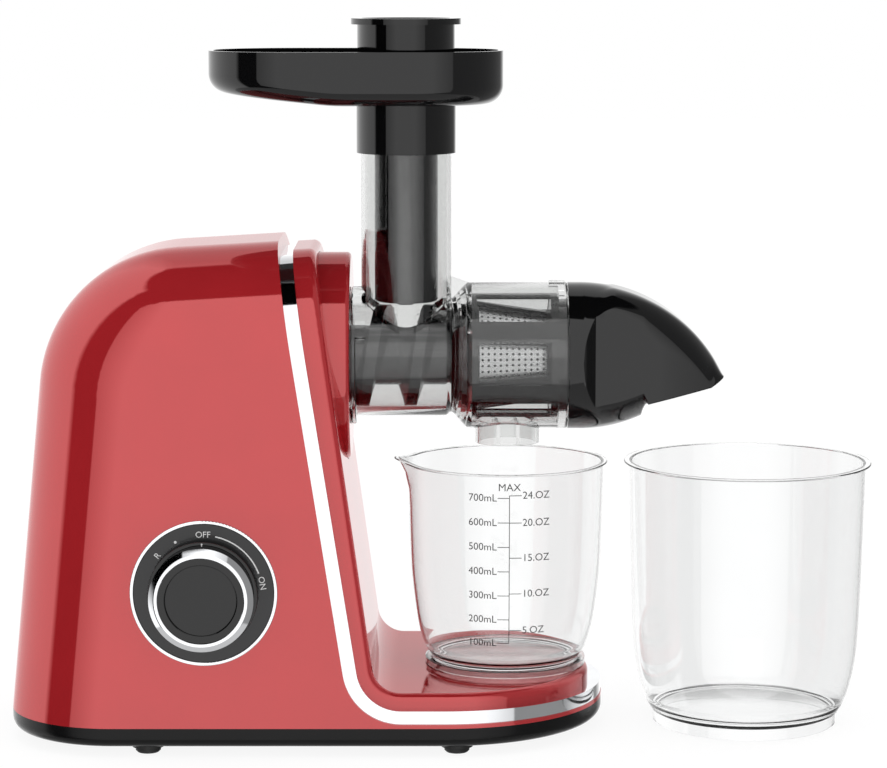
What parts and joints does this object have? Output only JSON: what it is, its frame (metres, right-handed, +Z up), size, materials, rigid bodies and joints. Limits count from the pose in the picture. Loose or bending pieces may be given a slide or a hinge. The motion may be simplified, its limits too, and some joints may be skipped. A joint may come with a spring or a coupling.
{
  "type": "cold press juicer",
  "caption": "Horizontal cold press juicer with geared motor base, clear auger drum, strainer, feed tray, pusher, beaked pulp cap, rotary knob and clear cups.",
  "frame": {"origin": "middle of the footprint of the machine and its two cups, on the surface it stands on", "axes": "+X along the drive line from the motor to the pulp outlet, +Y across, away from the knob's side, +Z up"},
  "size_m": [0.4631, 0.189, 0.3812],
  "materials": {
    "red_plastic": "high gloss",
    "black_plastic": "gloss",
    "bright_trim": "mirror",
    "rubber": "matt",
    "steel": "machined",
    "mesh_steel": "perforated sheet",
    "bronze": "sintered",
    "magnet": "pressed",
    "grey_plastic": "moulded",
    "nylon": "moulded",
    "board_green": "lacquered board",
    "auger_plastic": "satin",
    "smoke_clear": "smoked clear",
    "clear_plastic": "clear"
  },
  "bodies": {
    "motor_base": {"base_pan": "black_plastic", "rubber_feet": "rubber", "base_screws": "steel", "rear_shell": "red_plastic", "front_shell": "red_plastic", "trim_band": "bright_trim", "drive_collar": "red_plastic", "shaft_seal": "rubber", "dial_ring": "bright_trim", "dial_plate": "black_plastic", "rotary_switch": "grey_plastic", "motor_can": "steel", "motor_end_cap": "steel", "motor_bearings": "bronze", "stator_magnets": "magnet", "motor_cradle": "grey_plastic", "gearbox_housing": "grey_plastic", "gearbox_cover": "grey_plastic", "gearbox_screws": "steel", "idler_pin": "steel", "output_bearings": "bronze", "lock_microswitch": "black_plastic", "control_board": "board_green", "board_parts": "black_plastic", "board_spacers": "grey_plastic", "cord_gland": "rubber"},
    "knob": {"knob_body": "grey_plastic", "knob_ring": "bright_trim", "knob_face": "black_plastic", "knob_shaft": "steel"},
    "motor_rotor": {"rotor": "magnet", "motor_pinion": "steel", "cooling_fan": "grey_plastic"},
    "idler": {"idler_gear": "nylon", "idler_pinion": "nylon"},
    "auger_drive": {"output_gear": "nylon", "output_shaft": "steel", "auger": "auger_plastic"},
    "drum": {"drum_housing": "smoke_clear", "drum_gasket": "rubber", "strainer_cage": "black_plastic", "strainer_mesh": "mesh_steel"},
    "cap": {"end_cap": "black_plastic", "cap_gasket": "rubber"},
    "tray": {"feed_tray": "black_plastic"},
    "push": {"pusher": "black_plastic"},
    "cup_juice": {"juice_cup": "clear_plastic"},
    "cup_pulp": {"pulp_cup": "clear_plastic"}
  },
  "joints": [
    {"name": "knob_turn", "type": "hinge", "parent": "motor_base", "child": "knob", "pos_m": [-0.12395, -0.0845, 0.0873], "axis": [0, 1, 0], "range_deg": [-50, 80]},
    {"name": "auger_spin", "type": "hinge", "parent": "motor_base", "child": "auger_drive", "pos_m": [0.00005, 0.0105, 0.2008], "axis": [1, 0, 0], "continuous": true},
    {"name": "idler_spin", "type": "hinge", "parent": "motor_base", "child": "idler", "pos_m": [-0.10495, 0.02498, 0.16459], "axis": [1, 0, 0], "continuous": true},
    {"name": "rotor_spin", "type": "hinge", "parent": "motor_base", "child": "motor_rotor", "pos_m": [-0.14995, 0.0105, 0.13], "axis": [1, 0, 0], "continuous": true},
    {"name": "drum_turn", "type": "hinge", "parent": "motor_base", "child": "drum", "pos_m": [-0.04995, 0.0105, 0.2008], "axis": [1, 0, 0], "range_deg": [0, 35]},
    {"name": "cap_turn", "type": "hinge", "parent": "drum", "child": "cap", "pos_m": [0.07005, 0.0105, 0.2008], "axis": [1, 0, 0], "range_deg": [0, 30]},
    {"name": "tray_lift", "type": "slide", "parent": "drum", "child": "tray", "axis": [0, 0, 1], "range_m": [0, 0.06]},
    {"name": "pusher_slide", "type": "slide", "parent": "tray", "child": "push", "axis": [0, 0, 1], "range_m": [0, 0.13]},
    {"name": "juice_cup_slide", "type": "slide", "parent": "motor_base", "child": "cup_juice", "axis": [0, -1, 0], "range_m": [0, 0.15]},
    {"name": "pulp_cup_slide", "type": "slide", "parent": "motor_base", "child": "cup_pulp", "axis": [1, 0, 0], "range_m": [0, 0.12]}
  ],
  "couplings": [
    {"joint": "idler_spin", "follows": "auger_spin", "ratio": -3.3333},
    {"joint": "rotor_spin", "follows": "auger_spin", "ratio": 13.333}
  ]
}
